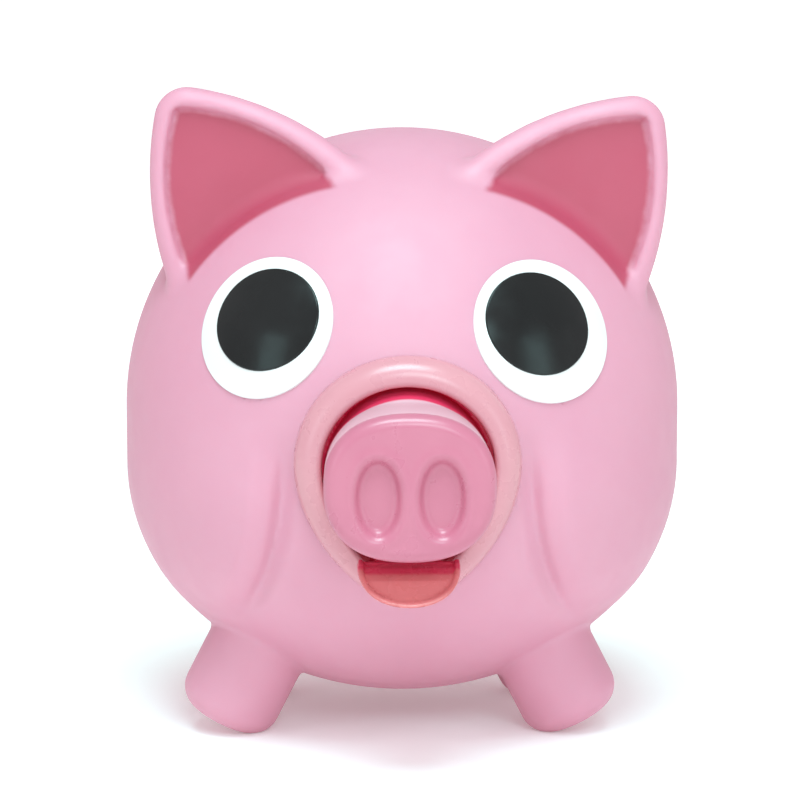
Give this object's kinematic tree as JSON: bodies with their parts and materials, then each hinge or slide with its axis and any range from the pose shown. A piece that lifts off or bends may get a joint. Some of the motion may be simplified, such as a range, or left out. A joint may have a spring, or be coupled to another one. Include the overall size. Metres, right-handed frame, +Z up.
{
  "type": "piggy bank",
  "caption": "Round soft-vinyl pig coin bank with big glossy eyes; squeezing it tips the hinged snout up and pushes the tongue out.",
  "frame": {"origin": "on the floor plane, under the middle of the whole object's bounding box", "axes": "+Z up, the snout faces -Y, +X is the pig's own left side"},
  "size_m": [0.14, 0.1652, 0.1615],
  "materials": {
    "pink_vinyl": "soft satin vinyl, darker pink sprayed inside the ears",
    "eye_white": "gloss",
    "pupil_black": "high gloss",
    "collar_pink": "gloss",
    "mouth_crimson": "semi-gloss",
    "snout_pale": "satin",
    "snout_deep": "satin",
    "tongue_peach": "translucent satin",
    "white_acetal": "moulded satin",
    "zinc_steel": "bright zinc",
    "spring_steel": "drawn wire",
    "reed_brass": "rolled strip",
    "black_rubber": "matte",
    "stopper_rubber": "matte"
  },
  "bodies": {
    "root": {"body_shell": "pink_vinyl", "eye_white_left": "eye_white", "eye_white_right": "eye_white", "pupil_left": "pupil_black", "pupil_right": "pupil_black", "eye_washers": "spring_steel", "mouth_ring": "collar_pink", "mouth_cup": "mouth_crimson", "housing_screws": "zinc_steel", "hinge_pins": "zinc_steel", "return_spring": "spring_steel", "diaphragm": "black_rubber", "diaphragm_cap": "white_acetal", "whistle_tube": "white_acetal", "whistle_reed": "reed_brass"},
    "snout": {"snout_barrel": "snout_pale", "snout_face": "snout_deep", "crank_pin": "zinc_steel"},
    "plunger": {"plunger": "white_acetal", "tongue": "tongue_peach"},
    "stopper": {"stopper": "stopper_rubber"}
  },
  "joints": [
    {"name": "snout_hinge", "type": "hinge", "parent": "root", "child": "snout", "pos_m": [0, -0.054, 0.072], "axis": [-1, 0, 0], "range_deg": [0, 15.5], "stiffness_Nm_per_rad": 0.05, "springref_deg": -14.32},
    {"name": "plunger_slide", "type": "slide", "parent": "root", "child": "plunger", "axis": [0, -1, 0], "range_m": [0, 0.004], "deforming": ["return_spring", "diaphragm"]},
    {"name": "stopper_pull", "type": "slide", "parent": "root", "child": "stopper", "axis": [0, 0.6428, -0.766], "range_m": [0, 0.014]}
  ],
  "couplings": [
    {"joint": "plunger_slide", "follows": "snout_hinge", "m_per_rad": 0.01445}
  ]
}
